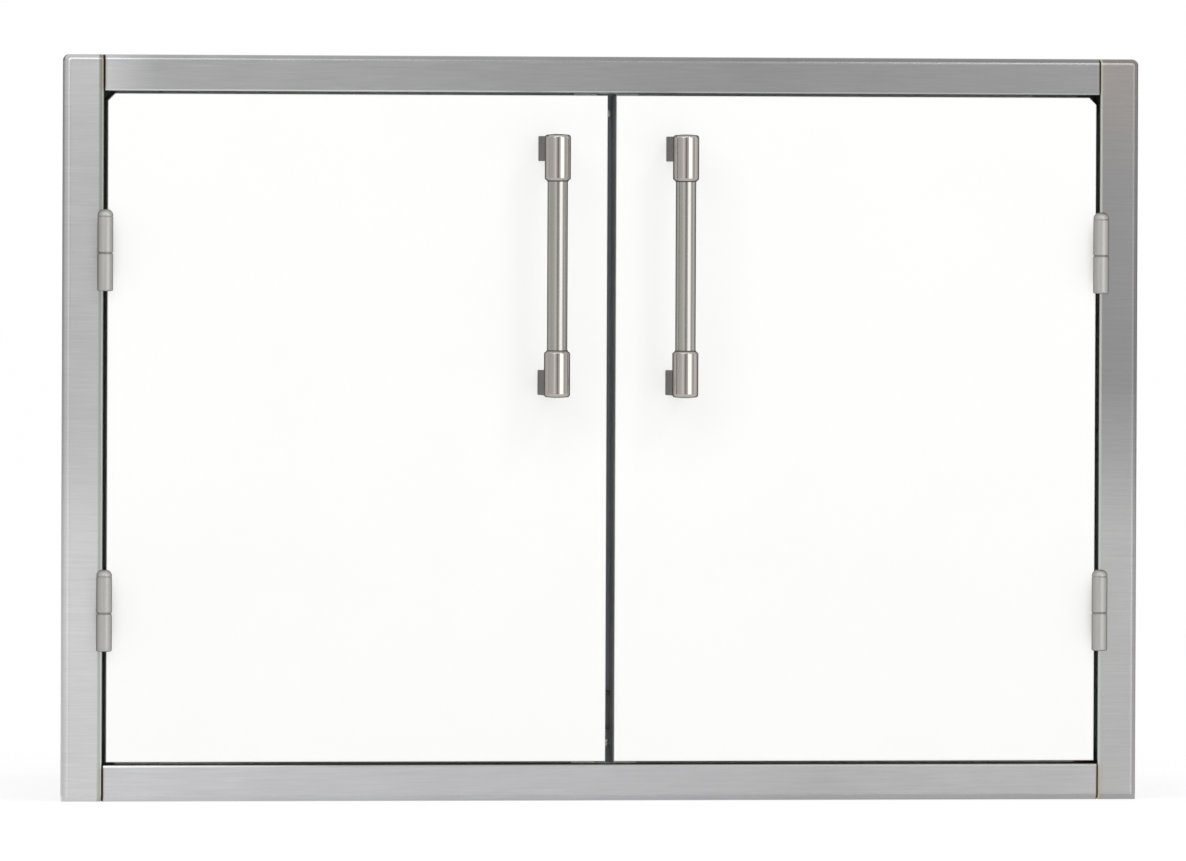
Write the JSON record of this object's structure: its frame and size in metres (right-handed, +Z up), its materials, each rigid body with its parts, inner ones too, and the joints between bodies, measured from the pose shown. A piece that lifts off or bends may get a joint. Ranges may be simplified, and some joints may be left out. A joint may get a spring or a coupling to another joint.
{
  "type": "built-in outdoor pantry",
  "caption": "Built-in outdoor kitchen pantry: raised stainless face frame, double white doors on barrel hinges with bar handles, sealed sheet metal box with an adjustable shelf.",
  "frame": {"origin": "middle of the front edge of the box's underside, where the box rests on the sill of the cut-out, in the wall plane that the face frame closes on", "axes": "+X to the right seen from the front, +Y into the box, +Z up; the doors face -Y"},
  "size_m": [0.762, 0.5621, 0.5207],
  "materials": {
    "frame_stainless": "horizontal brushed",
    "box_stainless": "mill, lightly brushed",
    "door_white": "smooth powder coat",
    "door_stainless": "plain",
    "handle_steel": "satin polished",
    "hinge_steel": "satin",
    "screw_steel": "plain",
    "washer_steel": "ground",
    "gasket_rubber": "matt",
    "strip_charcoal": "matt",
    "catch_plastic": "moulded",
    "magnet_ferrite": "ground"
  },
  "bodies": {
    "cabinet": {"left_stile": "frame_stainless", "right_stile": "frame_stainless", "top_rail": "frame_stainless", "bottom_rail": "frame_stainless", "left_panel": "box_stainless", "right_panel": "box_stainless", "top_panel": "box_stainless", "bottom_panel": "box_stainless", "back_panel": "box_stainless", "centre_mullion": "frame_stainless", "meeting_strip": "strip_charcoal", "strip_screws": "screw_steel", "magnet_catch": "catch_plastic", "catch_magnet": "magnet_ferrite", "left_upper_hinge_lower": "hinge_steel", "left_lower_hinge_lower": "hinge_steel", "right_upper_hinge_lower": "hinge_steel", "right_lower_hinge_lower": "hinge_steel", "hinge_pins": "hinge_steel", "hinge_washers": "washer_steel", "shelf_standards": "box_stainless"},
    "left_door": {"left_door_face": "door_white", "left_door_pan": "door_stainless", "left_door_liner": "box_stainless", "left_liner_screws": "screw_steel", "left_door_gasket": "gasket_rubber", "left_handle_upper_post": "handle_steel", "left_handle_lower_post": "handle_steel", "left_handle_bar": "handle_steel", "left_handle_screws": "screw_steel", "left_upper_hinge_upper": "hinge_steel", "left_lower_hinge_upper": "hinge_steel"},
    "right_door": {"right_door_face": "door_white", "right_door_pan": "door_stainless", "right_door_liner": "box_stainless", "right_liner_screws": "screw_steel", "right_door_gasket": "gasket_rubber", "right_handle_upper_post": "handle_steel", "right_handle_lower_post": "handle_steel", "right_handle_bar": "handle_steel", "right_handle_screws": "screw_steel", "right_upper_hinge_upper": "hinge_steel", "right_lower_hinge_upper": "hinge_steel"},
    "shelf": {"shelf": "box_stainless", "shelf_clips": "screw_steel"}
  },
  "joints": [
    {"name": "left_door_swing", "type": "hinge", "parent": "cabinet", "child": "left_door", "pos_m": [-0.353, -0.0168, 0.23755], "axis": [0, 0, -1], "range_deg": [0, 170]},
    {"name": "right_door_swing", "type": "hinge", "parent": "cabinet", "child": "right_door", "pos_m": [0.353, -0.0168, 0.23755], "axis": [0, 0, 1], "range_deg": [0, 170]},
    {"name": "shelf_height", "type": "slide", "parent": "cabinet", "child": "shelf", "axis": [0, 0, 1], "range_m": [-0.0762, 0.0762]}
  ]
}
